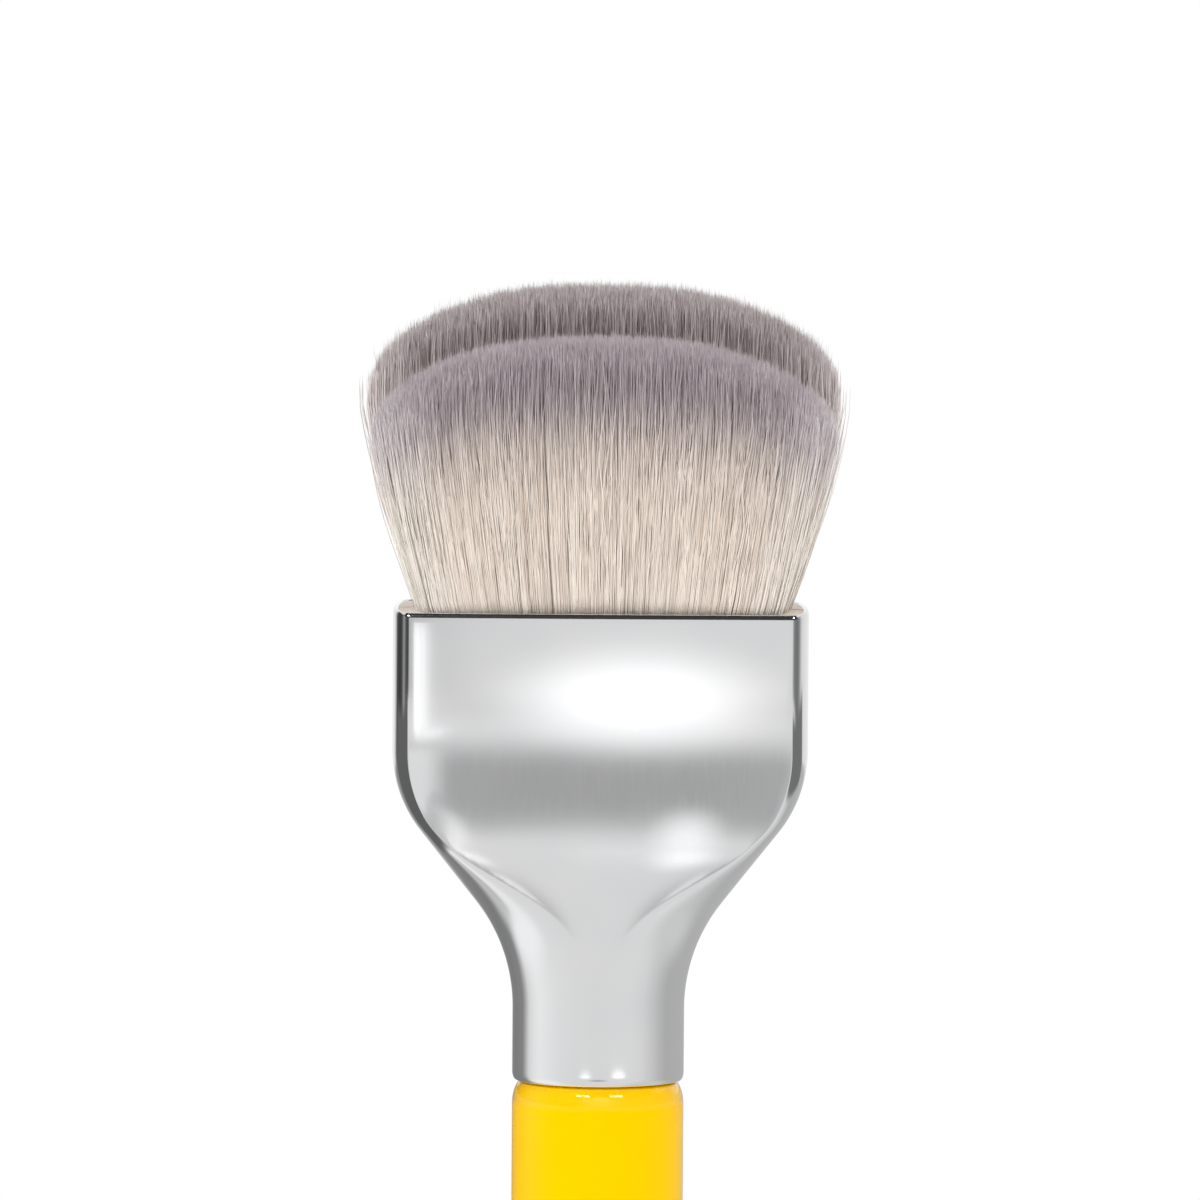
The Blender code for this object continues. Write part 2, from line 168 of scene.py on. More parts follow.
# Camera: a long way off and a little above the mouth, as the photograph's was.
cameraPlace = {
    "distance": 1.4,  # metres
    "elevation": 4.2,  # degrees above level
    "roll": 0.39,  # degrees that the brush leans to the right in the picture
    "aim": (-0.09 * mm, 0, 158.6 * mm),
    "shownWidth": 101.2 * mm,  # what the picture's width takes in at the brush
    "sensorWidth": 36.0,  # millimetres
    "clipStart": 0.01,
}


def makeCamera(place):
    data = bpy.data.cameras.new("camera")
    data.sensor_width = place["sensorWidth"]
    data.lens = place["sensorWidth"] * place["distance"] / place["shownWidth"]
    data.clip_start = place["clipStart"]
    camera = addObject("camera", data)
    tilt = math.radians(place["elevation"])
    away = Vector((0, -math.cos(tilt), math.sin(tilt)))
    camera.location = Vector(place["aim"]) + away * place["distance"]
    camera.rotation_mode = "QUATERNION"
    level = (-away).to_track_quat("-Z", "Y")
    camera.rotation_quaternion = level @ Quaternion((0, 0, 1), math.radians(place["roll"]))
    bpy.context.scene.camera = camera


makeCamera(cameraPlace)
print("camera placed")


# Studio: an even room light on matt surfaces, two softboxes in front, soft fills round them and
# a white backdrop. Polished surfaces see the room by direction, in degrees: azimuth 0 is where
# the camera stands and 90 is the picture's left. A patch is its azimuth, elevation, half width,
# half height, softness share and brightness, and each one lies over those before it.
studio = {
    "roomLight": 0.60,
    "around": ((-180, 0.62), (-174, 0.50), (-162, 0.45), (-103, 0.43), (-91, 0.49), (-80, 0.57),
               (-61, 0.69), (-43, 0.73), (0, 0.72), (30, 0.73), (56, 0.77), (75, 0.83),
               (86, 0.86), (97, 0.80), (107, 0.70), (115, 0.42), (122, 0.24), (147, 0.21),
               (165, 0.24), (174, 0.50), (180, 0.62)),
    "upward": ((-90, 1.0), (2, 1.0), (8, 0.05), (90, 0.04)),
    "patches": ((0.0, -15.3, 18.0, 7.5, 0.9, 0.355),  # low in front
                (125.0, -48.0, 25.0, 20.0, 0.9, 0.55),  # low behind, on the left
                (88.0, -36.0, 42.0, 27.0, 0.75, 0.93),  # low on the left
                (-88.0, -42.0, 60.0, 30.0, 0.8, 0.62),  # low on the right
                (150.0, 32.0, 65.0, 32.0, 0.5, 0.75),  # high behind, on the left
                (-150.0, 32.0, 65.0, 32.0, 0.5, 0.75)),  # and on the right
}
# Lamps, aimed at the neck. Their distances and sizes are in metres.
softboxes = {
    "leftSoftbox": {"azimuth": 22.5, "elevation": 35.0, "distance": 1.1,
        "size": (0.32, 0.13), "watts": 2.3, "shines": True},
    "rightSoftbox": {"azimuth": -28.4, "elevation": 35.0, "distance": 1.1,
        "size": (0.3, 0.13), "watts": 1.9, "shines": True},
    "frontFill": {"azimuth": 8.0, "elevation": 9.0, "distance": 1.2,
        "size": (1.3, 0.9), "watts": 4.6},
    "leftFill": {"azimuth": 92.0, "elevation": 12.0, "distance": 1.1,
        "size": (0.5, 0.7), "watts": 3.0},
    "rightFill": {"azimuth": -106.0, "elevation": 12.0, "distance": 1.1,
        "size": (0.5, 0.7), "watts": 3.1},
    "topLight": {"azimuth": 180.0, "elevation": 78.0, "distance": 1.1,
        "size": (0.6, 0.4), "watts": 0.9},
}
# Reflector cards near the ferrule, which only polished surfaces see. Centres and half sizes are
# in millimetres. A card faces the brush from its azimuth, turned in its own plane and tilted by
# so many degrees, and its edges are soft over a share of its half width and half height.
glowCards = {
    "face_glow": {"centre": (4.0, -58.0, 142.6),
        "half": (19.5, 11.6), "softness": 0.95, "brightness": 1.3},
    "flare_glow": {"centre": (8.1, -25.0, 135.5),
        "half": (4.9, 2.1), "softness": 0.95, "brightness": 1.1},
    "brow_glow": {"centre": (0.0, -60.0, 136.8),
        "half": (30.0, 6.0), "softness": (0.1, 0.95), "brightness": 0.74},
    "end_glow": {"centre": (-17.1, -25.0, 139.0),
        "half": (3.6, 3.8), "softness": (0.8, 0.35), "brightness": 0.76},
    "flank_glow": {"centre": (-12.4, -25.0, 135.0), "turn": 30,
        "half": (4.2, 1.2), "softness": 0.9, "brightness": 1.0},
    "side_strip": {"centre": (-19.5, -58.0, 144.5),
        "half": (1.25, 9.6), "softness": (0.5, 0.12), "brightness": 1.3},
    "strip_foot": {"centre": (-17.9, -58.0, 136.3), "turn": -25,
        "half": (2.6, 1.1), "softness": 0.8, "brightness": 1.15},
    "left_crease": {"centre": (-9.0, -25.0, 130.7), "turn": 50,
        "half": (3.4, 1.3), "softness": 0.6, "brightness": 0.82},
    "right_crease": {"centre": (9.2, -25.0, 130.8), "turn": -50,
        "half": (3.4, 1.3), "softness": 0.6, "brightness": 0.76},
    "left_shade": {"centre": (-27.5, -9.0, 136.8), "azimuth": 90, "tilt": 20,
        "half": (34.0, 12.8), "softness": (0.12, 0.18), "brightness": 0.12},
    "right_shade": {"centre": (25.5, -13.0, 142.0), "azimuth": -90, "turn": -8,
        "half": (24.0, 6.6), "softness": (0.15, 0.4), "brightness": 0.17},
    "left_glint": {"centre": (-7.1, -27.0, 116.5), "azimuth": 17,
        "half": (5.2, 0.85), "softness": 0.85, "brightness": 1.3},
    "right_glint": {"centre": (12.0, -26.5, 116.5), "azimuth": -26,
        "half": (6.4, 0.9), "softness": 0.85, "brightness": 1.45},
}
# The side card is a band bent round the brush. It fades in from low to full, and its tones are
# brightnesses by azimuth in degrees.
sideCard = {
    "radius": 150.0 * mm,
    "low": 126.0 * mm, "full": 131.0 * mm, "high": 190.0 * mm,
    "tones": ((-180, 0.95), (-160, 0.77), (-140, 0.70), (-130, 0.50), (-120, 0.28), (-100, 0.18),
              (-80, 0.17), (-45, 0.21), (-28, 0.32), (-18, 0.60), (-13, 0.72), (7, 0.70), (9.5, 0.60),
              (14, 0.50), (20, 0.08), (35, 0.06), (60, 0.08), (80, 0.20), (94, 0.30), (104, 0.22),
              (120, 0.07), (135, 0.04), (151, 0.06), (156, 0.50), (162, 0.85), (180, 0.98)),
    "sides": 96,
}
floorPlace = {
    "radius": 0.62,
    "plainRadius": 0.16,  # inside this the floor is matt and takes the shadow
    "fadeRadius": 0.56,  # beyond this it is as white as the backdrop
    "rings": 24, "sides": 128,
    "innerShare": 0.02,  # of the radius, where the rings end round a small disc
    "gritSize": 3.0 * mm,
    "colours": ("#EDEDEC", "#F4F4F3"),
}


def azimuthNodes(tree, direction):
    # A direction's azimuth as a share of a full turn, 0.5 in front, and its upward part.
    facing = addNode(tree, "VectorMath", {0: direction, 1: (-1, -1, 1)}, operation="MULTIPLY")
    parts = addNode(tree, "SeparateXYZ", {0: facing}).outputs
    azimuth = addNode(tree, "Math", {0: parts["X"], 1: parts["Y"]}, operation="ARCTAN2")
    share = addNode(tree, "Math", {0: azimuth, 1: 1 / math.tau, 2: 0.5}, operation="MULTIPLY_ADD")
    return share, parts["Z"]


def azimuthStops(tones):
    return [((degrees + 180) / 360, tone) for degrees, tone in tones]


def seenDirectly(tree):
    # 1 for what the camera, a polished surface or a clear one sees and 0 for light on the brush,
    # and the camera's own share of that.
    path = addNode(tree, "LightPath").outputs
    shown = path["Is Camera Ray"]
    for ray in ("Is Glossy Ray", "Is Transmission Ray"):
        shown = addNode(tree, "Math", {0: shown, 1: path[ray]}, operation="MAXIMUM")
    return shown, path["Is Camera Ray"]


def makeWorld():
    world = bpy.data.worlds.new("studioRoom")
    bpy.context.scene.world = world
    world.use_nodes = True
    tree = world.node_tree
    tree.nodes.clear()
    azimuth, upPart = azimuthNodes(tree, addNode(tree, "TexCoord").outputs["Generated"])
    elevation = addNode(tree, "Math", {0: upPart}, operation="ARCSINE")
    elevation = addNode(tree, "Math", {0: elevation, 1: 1 / math.pi, 2: 0.5}, operation="MULTIPLY_ADD")
    around = addNode(tree, "ValToRGB", {"Fac": azimuth}, azimuthStops(studio["around"]))
    upward = addNode(tree, "ValToRGB", {"Fac": elevation},
                     [((degrees + 90) / 180, tone) for degrees, tone in studio["upward"]])
    seen = addNode(tree, "MixRGB", {"Fac": 1.0, "Color1": around, "Color2": upward}, blend_type="MULTIPLY")
    place = addNode(tree, "CombineXYZ", {"X": azimuth, "Y": elevation})
    for middle, rise, wide, high, softness, brightness in studio["patches"]:
        scale = (360 / wide, 180 / high, 1)
        shift = (-(middle + 180) / wide, -(rise + 90) / high, 0)
        spot = addNode(tree, "Mapping", {"Vector": place, "Scale": scale, "Location": shift})
        reach = addNode(tree, "VectorMath", {0: spot}, operation="LENGTH").outputs["Value"]
        cover = addNode(tree, "MapRange", {"Value": reach, "From Min": 1.0, "From Max": 1.0 - softness},
                        interpolation_type="SMOOTHSTEP")
        seen = addNode(tree, "MixRGB", {"Fac": cover, "Color1": seen, "Color2": grey(brightness)})
    shown, byCamera = seenDirectly(tree)
    seen = addNode(tree, "MixRGB", {"Fac": byCamera, "Color1": seen, "Color2": grey(1.0)})
    roomLight = addNode(tree, "Background", {"Strength": studio["roomLight"], "Color": grey(1.0)})
    backdrop = addNode(tree, "Background", {"Strength": 1.0, "Color": seen})
    mixed = addNode(tree, "MixShader", {"Fac": shown, 1: roomLight, 2: backdrop})
    addNode(tree, "OutputWorld", {"Surface": mixed})


def makeSoftbox(name, box):
    data = bpy.data.lights.new(name, "AREA")
    data.shape = "RECTANGLE"
    data.size, data.size_y = box["size"]
    data.energy = box["watts"]
    lamp = addObject(name, data)
    lamp.visible_glossy = box.get("shines", False)  # whether polished surfaces show it
    turn, rise = math.radians(box["azimuth"]), math.radians(box["elevation"])
    away = Vector((-math.sin(turn) * math.cos(rise), -math.cos(turn) * math.cos(rise), math.sin(rise)))
    lamp.location = Vector((0, 0, neckEnd)) + away * box["distance"]
    lamp.rotation_euler = away.to_track_quat("Z", "Y").to_euler()


def shineOnly(item):
    # Seen in reflections and by nothing else, so it gives no light and no shadow.
    for ray in ("camera", "diffuse", "transmission", "volume_scatter", "shadow"):
        setattr(item, "visible_" + ray, False)


def lightCard(tree, colour, cover):
    # The card glows in its colour where its cover is 1 and is clear where that is 0.
    lit = addNode(tree, "Emission", {"Color": colour})
    mixed = addNode(tree, "MixShader", {"Fac": cover, 1: addNode(tree, "BsdfTransparent"), 2: lit})
    addNode(tree, "OutputMaterial", {"Surface": mixed})


def makeGlowCard(name, card):
    # An oval card, or a rectangular one where each way has its own softness.
    material, tree = startMaterial(name + "_lit")
    x, z = (half * mm for half in card["half"])
    place = addNode(tree, "TexCoord").outputs["Object"]
    scaled = addNode(tree, "VectorMath", {0: place, 1: (1 / x, 0, 1 / z)}, operation="MULTIPLY")
    if isinstance(card["softness"], tuple):
        apart = addNode(tree, "VectorMath", {0: scaled}, operation="ABSOLUTE")
        apart = addNode(tree, "SeparateXYZ", {0: apart}).outputs
        edges = zip((apart["X"], apart["Z"]), card["softness"])
    else:
        reach = addNode(tree, "VectorMath", {0: scaled}, operation="LENGTH").outputs["Value"]
        edges = [(reach, card["softness"])]
    cover = None
    for reach, softness in edges:
        edge = addNode(tree, "MapRange", {"Value": reach, "From Min": 1.0, "From Max": 1.0 - softness},
                       interpolation_type="SMOOTHSTEP")
        cover = addNode(tree, "Math", {0: cover, 1: edge}, operation="MULTIPLY") if cover else edge
    lightCard(tree, grey(card["brightness"]), cover)
    corners = [(-x, 0, -z), (x, 0, -z), (x, 0, z), (-x, 0, z)]
    mesh = newMesh(name, corners, [np.array([[0, 1, 2, 3]])], material)
    item = addObject(name, mesh)
    item.location = Vector(card["centre"]) * mm
    item.rotation_euler = (math.radians(card.get("tilt", 0)), math.radians(card.get("turn", 0)),
                           -math.radians(card.get("azimuth", 0)))
    shineOnly(item)


def makeSideCard():
    material, tree = startMaterial("side_card_lit")
    low, sides = sideCard["low"], sideCard["sides"]
    azimuth, height = azimuthNodes(tree, addNode(tree, "TexCoord").outputs["Object"])
    tone = addNode(tree, "ValToRGB", {"Fac": azimuth}, azimuthStops(sideCard["tones"]))
    cover = addNode(tree, "MapRange", {"Value": height, "From Min": low, "From Max": sideCard["full"]},
                    interpolation_type="SMOOTHSTEP")
    lightCard(tree, tone, cover)
    points = turnedPoints([sideCard["radius"]] * 2, [low, sideCard["high"]], sides)
    mesh = newMesh("side_card", points, [loftFaces(2, sides, False)], material)
    shineOnly(addObject("side_card", mesh))


def mattStudioPaint():
    # White emulsion rolled on board: matt with a faint grit. It takes the brush's shadow and runs
    # out into the backdrop, so no edge of it shows.
    material, tree = startMaterial("mattStudioPaint")
    place = addNode(tree, "TexCoord").outputs["Object"]
    reach = addNode(tree, "VectorMath", {0: place}, operation="LENGTH").outputs["Value"]
    fade = addNode(tree, "MapRange", {"Value": reach, "From Min": floorPlace["plainRadius"],
                                      "From Max": floorPlace["fadeRadius"]},
                   interpolation_type="SMOOTHSTEP")
    grit = addNode(tree, "TexNoise", {"Vector": place, "Scale": 1 / floorPlace["gritSize"], "Detail": 3.0})
    tone = addNode(tree, "ValToRGB", {"Fac": grit}, zip((0.3, 0.7), floorPlace["colours"]))
    paint = addNode(tree, "BsdfDiffuse", {"Color": tone, "Roughness": 0.6})
    white = addNode(tree, "Emission", {"Color": grey(1.0), "Strength": 1.0})
    share = addNode(tree, "Math", {0: seenDirectly(tree)[0], 1: fade}, operation="MULTIPLY")
    mixed = addNode(tree, "MixShader", {"Fac": share, 1: paint, 2: white})
    addNode(tree, "OutputMaterial", {"Surface": mixed})
    return material


def makeFloor():
    rings, sides = floorPlace["rings"], floorPlace["sides"]
    radii = np.linspace(1, floorPlace["innerShare"], rings) * floorPlace["radius"]
    faces = [loftFaces(rings, sides, False), np.arange(sides)[None, :] + (rings - 1) * sides]
    mesh = newMesh("floor", turnedPoints(radii, np.zeros(rings), sides), faces, mattStudioPaint())
    floor = addObject("floor", mesh)
    floor.visible_glossy = False  # the room pattern already holds the table's reflection


makeWorld()
makeFloor()
for name, box in softboxes.items():
    makeSoftbox(name, box)
for name, card in glowCards.items():
    makeGlowCard(name, card)
makeSideCard()
bpy.context.scene.view_settings.view_transform = "Standard"
print("studio set")


# Handle: a turned stick, straight under the ferrule and slim at the end.
handleDesign = {
    "gripLength": 30.0 * mm,
    "tailRadius": 4.4 * mm,
    "buttFlatRadius": 2.5 * mm,
    "buttRoundHeight": 3.4 * mm,
    "shoulderHeight": 2.1 * mm,
    "tenonRadius": 6.31 * mm,
    "tenonChamfer": 0.7 * mm,
    "sides": 144, "taperRings": 48, "gripRings": 8, "roundRings": 12,
    "sharpDegrees": 35,  # edges that turn more than this stay crisp
    "colours": ("#FFC600", "#FFC902"),
    "reflectionTint": "#FFC400",
    "roughness": (0.04, 0.08),
    "cloudSize": 9.0 * mm,  # of its paler and deeper patches
    "polishSize": 4.0 * mm,  # of its duller and shinier patches
    "waveSize": 1.3 * mm,  # of the sprayed coat's slight waves
    "waveDepth": 0.004 * mm,
    "thickeningHeight": 0.6 * mm,  # over which the coat thickens at the shoulder
}


def buffedYellowLacquer():
    # Cellulose lacquer sprayed on primed birch and buffed: one clear, wet-looking gloss whose
    # reflections waver a little over the sprayed coat, and which lies thicker on the shoulder.
    design = handleDesign
    material, tree = startMaterial("buffedYellowLacquer")
    place = addNode(tree, "TexCoord").outputs["Object"]
    cloud = addNode(tree, "TexNoise", {"Vector": place, "Scale": 1 / design["cloudSize"], "Detail": 2.0})
    colour = addNode(tree, "ValToRGB", {"Fac": cloud}, zip((0.35, 0.65), design["colours"]))
    waves = addNode(tree, "TexNoise", {"Vector": place, "Scale": 1 / design["waveSize"], "Detail": 1.0})
    bump = addNode(tree, "Bump", {"Height": waves, "Strength": 0.25, "Distance": design["waveDepth"]})
    polish = addNode(tree, "TexNoise", {"Vector": place, "Scale": 1 / design["polishSize"], "Detail": 4.0})
    rough = addNode(tree, "MapRange", {"Value": polish, "To Min": design["roughness"][0],
                                       "To Max": design["roughness"][1]})
    height = addNode(tree, "SeparateXYZ", {0: place}).outputs["Z"]
    shoulder = neckEnd - design["shoulderHeight"]
    thick = addNode(tree, "MapRange", {"Value": height, "From Min": shoulder,
                                       "From Max": shoulder + design["thickeningHeight"]})
    shader = addNode(tree, "BsdfPrincipled", {
        "Base Color": colour, "Roughness": rough, "IOR": 1.5, "Normal": bump,
        "Specular Tint": linearColour(design["reflectionTint"]), "Coat Weight": thick,
        "Coat Roughness": 0.05})
    addNode(tree, "OutputMaterial", {"Surface": shader})
    return material


def handleOutline():
    # Radius and height from the butt's flat up to the top of the tenon.
    design = handleDesign
    tail, flat, tenon = design["tailRadius"], design["buttFlatRadius"], design["tenonRadius"]
    butt, chamfer = design["buttRoundHeight"], design["tenonChamfer"]
    quarter = np.linspace(0, math.pi / 2, design["roundRings"])
    taper = np.linspace(0, 1, design["taperRings"])[1:]
    shoulder = neckEnd - design["shoulderHeight"]
    gripStart = shoulder - design["gripLength"]
    radii = [flat + (tail - flat) * np.sin(quarter),
             tail + (neckRadius - tail) * ease(taper),
             np.full(design["gripRings"], neckRadius),
             tenon + (neckRadius - tenon) * np.cos(quarter),
             [tenon, tenon - chamfer]]
    heights = [butt * (1 - np.cos(quarter)),
               butt + (gripStart - butt) * taper,
               np.linspace(gripStart, shoulder, design["gripRings"] + 2)[1:-1],
               shoulder + design["shoulderHeight"] * np.sin(quarter),
               [handleHigh.z - chamfer, handleHigh.z]]
    return np.concatenate(radii), handleLow.z + np.concatenate(heights)


def makeHandle():
    radii, heights = handleOutline()
    sides = handleDesign["sides"]
    points = turnedPoints(radii, heights, sides)
    around = np.arange(sides)[None, :]
    faces = [loftFaces(len(radii), sides, False), around[:, ::-1], around + (len(radii) - 1) * sides]
    mesh = newMesh("handle_turned", points, faces, buffedYellowLacquer(), handleDesign["sharpDegrees"])
    addPiece("handle_turned", mesh, "handle")


makeHandle()
print("handle made")


# Ferrule: a drawn shell, round at the neck and a flat box with domed faces at the mouth.
ferruleDesign = {
    "wall": 0.5 * mm,
    "neckArcRadius": 14.5 * mm,
    "shoulderArcRadius": 11.0 * mm,
    "flareDegrees": 38.0,
    "boxHeight": 11.95 * mm,
    "faceCrown": 0.35 * mm,
    "sideReach": 1.5 * mm,  # how far in from each side the box's rounded side begins
    "leastReach": 0.1 * mm,  # what is left of that at least on the inside
    "sidePower": 2.6,  # above 2 the face runs softly into it
    "sideLengthShare": 0.8,  # its length as a share of its reach and half depth together
    "squaring": (8.3 * mm, 22.8 * mm),  # heights between which the side draws in to that
    "flattening": (9.0 * mm, 20.0 * mm),  # heights between which the neck's ellipse turns flat
    "swellBelow": 8.1 * mm,  # the face starts to swell this far below the shoulder
    "swellAbove": 10.9 * mm,  # and is at its fullest this far above it
    "mouthRoll": 0.60 * mm,  # height over which the mouth's edge rolls in
    "neckRoll": (0.32 * mm, 0.70 * mm),  # depth and height of the neck's rolled edge
    "quarterSteps": 58,  # points in a quarter of a section
    "outerRings": 150, "innerRings": 40, "edgeRings": 9,
    "colours": ("#F3F4F5", "#F7F7F8"),
    "roughness": (0.07, 0.12),
    "lineSize": (0.25 * mm, 9.0 * mm),  # width and length of the drawing lines
    "lineDepth": 0.0006 * mm,
    "waveSize": 7.0 * mm,  # of the buffed surface's slow waves
    "waveDepth": 0.006 * mm,
}
ferruleHeight = mouthHeight - neckEnd
boxHalfWidth = (ferruleHigh.x - ferruleLow.x) / 2
boxHalfDepth = (ferruleHigh.y - ferruleLow.y) / 2
shoulderHeight = ferruleHeight - ferruleDesign["boxHeight"]
flareTurn = math.radians(ferruleDesign["flareDegrees"])


def polishedAluminium():
    # Aluminium drawn in a press, then bright dipped and buffed: a mirror with a slight bloom,
    # faint upright drawing lines and a surface that is never quite flat.
    design = ferruleDesign
    lineWidth, lineLength = design["lineSize"]
    material, tree = startMaterial("polishedAluminium")
    place = addNode(tree, "TexCoord").outputs["Object"]
    stretched = addNode(tree, "Mapping", {"Vector": place,
                                          "Scale": (1 / lineWidth, 1 / lineWidth, 1 / lineLength)})
    lines = addNode(tree, "TexNoise", {"Vector": stretched, "Scale": 1.0, "Detail": 3.0})
    waves = addNode(tree, "TexNoise", {"Vector": place, "Scale": 1 / design["waveSize"], "Detail": 1.0})
    bump = addNode(tree, "Bump", {"Height": lines, "Strength": 0.2, "Distance": design["lineDepth"]})
    bump = addNode(tree, "Bump", {"Height": waves, "Strength": 0.5, "Distance": design["waveDepth"],
                                  "Normal": bump})
    bloom = addNode(tree, "MapRange", {"Value": lines, "To Min": design["roughness"][0],
                                       "To Max": design["roughness"][1]})
    tone = addNode(tree, "ValToRGB", {"Fac": waves}, zip((0.3, 0.7), design["colours"]))
    shader = addNode(tree, "BsdfPrincipled", {
        "Base Color": tone, "Metallic": 1.0, "Roughness": bloom, "Normal": bump})
    addNode(tree, "OutputMaterial", {"Surface": shader})
    return material


def halfWidth(z):
    # The silhouette: neck, neck arc, straight flank, shoulder arc, box.
    neckArc, shoulderArc = ferruleDesign["neckArcRadius"], ferruleDesign["shoulderArcRadius"]
    arcRise = (neckArc + shoulderArc) * (1 - math.cos(flareTurn))
    flankHeight = (boxHalfWidth - neckRadius - arcRise) / math.tan(flareTurn)
    arcStart = shoulderHeight - shoulderArc * math.sin(flareTurn)
    arcTop = arcStart - flankHeight
    neckTop = arcTop - neckArc * math.sin(flareTurn)
    if z <= neckTop:
        return neckRadius
    if z < arcTop:
        return neckRadius + neckArc - math.sqrt(neckArc ** 2 - (z - neckTop) ** 2)
    if z < arcStart:
        return neckRadius + neckArc * (1 - math.cos(flareTurn)) + (z - arcTop) * math.tan(flareTurn)
    below = max(0.0, shoulderHeight - z)
    return boxHalfWidth - shoulderArc + math.sqrt(shoulderArc ** 2 - below ** 2)


def halfDepth(z):
    # The face swells quickly under the shoulder, then ever more slowly up to the mouth.
    low = shoulderHeight - ferruleDesign["swellBelow"]
    share = np.clip((z - low) / (ferruleDesign["swellBelow"] + ferruleDesign["swellAbove"]), 0, 1)
    return neckRadius + (boxHalfDepth - neckRadius) * share ** 2 * (6 - 8 * share + 3 * share ** 2)


def between(z, heights):
    return ease((z - heights[0]) / (heights[1] - heights[0]))


def quarterSection(a, b, reach, crown, flatFace):
    # From the middle of the face to just before the middle of the side. The points are spread
    # evenly over length and turn together. flatFace is 1 for the box and 0 for an ellipse.
    flat = a - reach
    long = flat + ferruleDesign["sideLengthShare"] * (reach + b)
    steps = ferruleDesign["quarterSteps"]
    place = np.arange(steps) / steps
    flatEnd = flat / (2 * long)
    turn = np.clip((place - flatEnd) / (1 - flatEnd), 0, 1) * math.pi / 2
    tight = np.arctan2(np.sin(turn) * reach, np.cos(turn) * b)
    turn = (turn + tight) / 2
    x = np.minimum(flat, 2 * long * place) + reach * np.sin(turn) ** (2 / ferruleDesign["sidePower"])
    y = (b - crown * (x / a) ** 2) * np.cos(turn)
    even = place * math.pi / 2
    return (flatFace * x + (1 - flatFace) * a * np.sin(even),
            flatFace * y + (1 - flatFace) * b * np.cos(even))


def section(z, inset):
    # A closed outline at height z above the neck's end, drawn in by inset.
    design = ferruleDesign
    square = between(z, design["squaring"])
    a, b = halfWidth(z) - inset, halfDepth(z) - inset
    reach = neckRadius + (design["sideReach"] - neckRadius) * square - inset
    x, y = quarterSection(a, b, np.clip(reach, design["leastReach"], a), design["faceCrown"] * square,
                          between(z, design["flattening"]))
    outlineX = np.concatenate([x, [a], x[:0:-1], -x, [-a], -x[:0:-1]])
    outlineY = np.concatenate([-y, [0.0], y[:0:-1], y, [0.0], -y[:0:-1]])
    return np.stack([outlineX, outlineY, np.full(len(outlineX), neckEnd + z)], axis=-1)


def makeFerrule():
    # The outside going up, over the mouth's edge, down the inside and round the neck's edge.
    design = ferruleDesign
    wall, edge, roll, top = design["wall"], design["wall"] / 2, design["mouthRoll"], ferruleHeight
    neckDepth, neckRise = design["neckRoll"]
    neckWall = wall - neckDepth
    turns = np.linspace(0, math.pi / 2, design["edgeRings"])
    rings = [section(z, 0.0) for z in np.linspace(neckRise, top - roll, design["outerRings"])]
    rings += [section(top - roll * (1 - math.sin(turn)), edge * (1 - math.cos(turn))) for turn in turns[1:]]
    rings += [section(top - edge * (1 - math.cos(turn)), edge * (1 + math.sin(turn))) for turn in turns[1:]]
    rings += [section(z, wall) for z in np.linspace(top - edge, neckWall, design["innerRings"])[1:]]
    rings += [section(neckWall * (1 - math.sin(turn)), neckDepth + neckWall * math.cos(turn))
              for turn in turns[1:]]
    rings += [section(neckRise * (1 - math.cos(turn)), neckDepth * (1 - math.sin(turn)))
              for turn in turns[1:-1]]
    points = np.array(rings)
    faces = [loftFaces(len(points), points.shape[1], True)]
    mesh = newMesh("ferrule_shell", points.reshape(-1, 3), faces, polishedAluminium())
    addPiece("ferrule_shell", mesh, "ferrule")


makeFerrule()
print("ferrule made")


# Tufts: fine filaments that fan out of the mouth and end in a dome. On each tuft u runs
# across the width and v from the groove between the tufts out to the face, both -1 to 1,
# and heights h are above the mouth.
tuftDesign = {
    "crownWidth": 40.8 * mm,
    "spreadHeight": 17.0 * mm,  # over which it fans out above the mouth
    "spreadPower": 1.3,
    "faceBelly": 1.95 * mm,  # how far its face leans out there
    "faceGap": 0.10 * mm,  # from the ferrule's inside at the mouth
    "sideGap": 1.55 * mm,
    "innerGap": 0.15 * mm,  # from the middle plane at the mouth
    "offCentre": 0.2 * mm,  # both tufts stand this far to the right
    "grooveOpening": 0.5 * mm,
    "domeFall": 8.1 * mm,  # from the middle of the dome to its ends
    "domeWidthPower": 2.5,
    "domeEndPower": 1.45,
    "faceFall": 1.5 * mm,  # towards the face, and the next towards the groove
    "grooveFall": 1.3 * mm,
    "fallPower": 2.6,
    "cornerEaseShare": 0.35,
    "grooveCorner": (0.3 * mm, 2.0 * mm),  # its rounding at the mouth and at the crown
    "crownReach": 3.2 * mm,  # width of the rounded side at the crown
}
